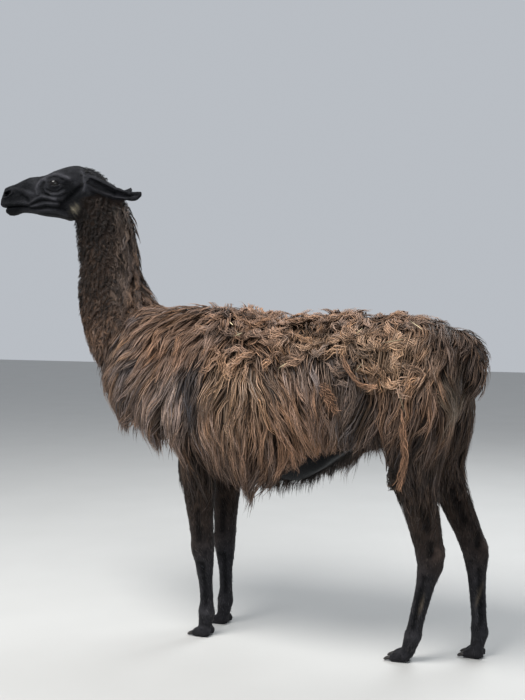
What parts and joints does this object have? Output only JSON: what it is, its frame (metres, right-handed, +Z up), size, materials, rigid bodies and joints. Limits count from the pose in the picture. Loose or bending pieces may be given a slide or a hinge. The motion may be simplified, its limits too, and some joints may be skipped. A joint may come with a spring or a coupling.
{
  "type": "llama figure",
  "caption": "Life-size standing llama in a long brown coat, head turned a little to its left and ears laid back; a still figure that rests on its four feet.",
  "frame": {"origin": "on the ground, under the middle of the figure's length and width", "axes": "+Z up; the llama faces -Y, and its left side is towards +X"},
  "size_m": [0.5318, 1.6575, 1.5801],
  "materials": {
    "fleece": "long brown wool with russet and golden-brown ends",
    "neck_fleece": "short brown-black fleece with a lighter mane",
    "face": "short smooth black hair with a soft bluish sheen",
    "legs": "short black-brown hair",
    "eye": "wet and glossy",
    "nail": "dull dark horn"
  },
  "bodies": {
    "root": {"trunk": "fleece", "neck": "neck_fleece", "tail": "fleece", "head": "face", "ear_left": "face", "ear_right": "face", "eye_left": "eye", "eye_right": "eye", "leg_front_left": "legs", "leg_front_right": "legs", "leg_hind_left": "legs", "leg_hind_right": "legs", "nail_front_left_outer": "nail", "nail_front_left_inner": "nail", "nail_front_right_outer": "nail", "nail_front_right_inner": "nail", "nail_hind_left_outer": "nail", "nail_hind_left_inner": "nail", "nail_hind_right_outer": "nail", "nail_hind_right_inner": "nail"}
  },
  "joints": []
}
